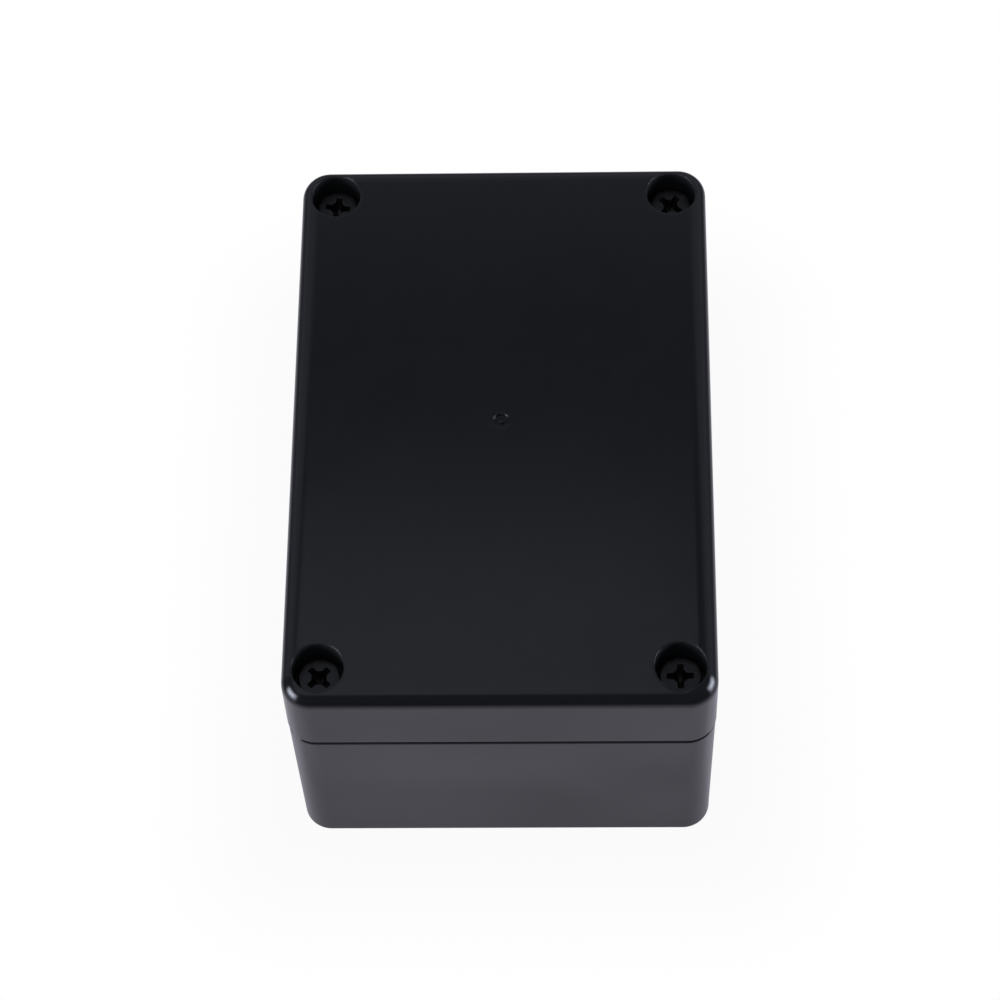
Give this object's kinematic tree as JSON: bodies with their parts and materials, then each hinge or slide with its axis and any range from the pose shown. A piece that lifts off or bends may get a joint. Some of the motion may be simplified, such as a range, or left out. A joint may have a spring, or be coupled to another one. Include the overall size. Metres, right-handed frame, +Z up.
{
  "type": "project box",
  "caption": "Sealed black plastic project box with a tall lid, deep corner counterbores for the lid screws, and wall-mounting holes in the tub.",
  "frame": {"origin": "middle of the tub's underside", "axes": "+X to the right across the box, +Y from front to back along its length, +Z up to the lid"},
  "size_m": [0.068, 0.1, 0.05],
  "materials": {
    "abs_plastic": "satin black moulded ABS",
    "gasket_rubber": "matt black silicone rubber",
    "screw_steel": "black-coated steel",
    "bush_brass": "turned brass"
  },
  "bodies": {
    "tub": {"base": "abs_plastic", "bush_front_left": "bush_brass", "bush_front_right": "bush_brass", "bush_back_left": "bush_brass", "bush_back_right": "bush_brass"},
    "cover": {"lid": "abs_plastic", "gasket": "gasket_rubber"},
    "lid_screw_front_left": {"screw_front_left": "screw_steel"},
    "lid_screw_front_right": {"screw_front_right": "screw_steel"},
    "lid_screw_back_left": {"screw_back_left": "screw_steel"},
    "lid_screw_back_right": {"screw_back_right": "screw_steel"}
  },
  "joints": [
    {"name": "lid_lift", "type": "slide", "parent": "tub", "child": "cover", "axis": [0, 0, 1], "range_m": [0, 0.06]},
    {"name": "screw_front_left_out", "type": "slide", "parent": "cover", "child": "lid_screw_front_left", "axis": [0, 0, 1], "range_m": [0, 0.011]},
    {"name": "screw_front_right_out", "type": "slide", "parent": "cover", "child": "lid_screw_front_right", "axis": [0, 0, 1], "range_m": [0, 0.011]},
    {"name": "screw_back_left_out", "type": "slide", "parent": "cover", "child": "lid_screw_back_left", "axis": [0, 0, 1], "range_m": [0, 0.011]},
    {"name": "screw_back_right_out", "type": "slide", "parent": "cover", "child": "lid_screw_back_right", "axis": [0, 0, 1], "range_m": [0, 0.011]}
  ]
}
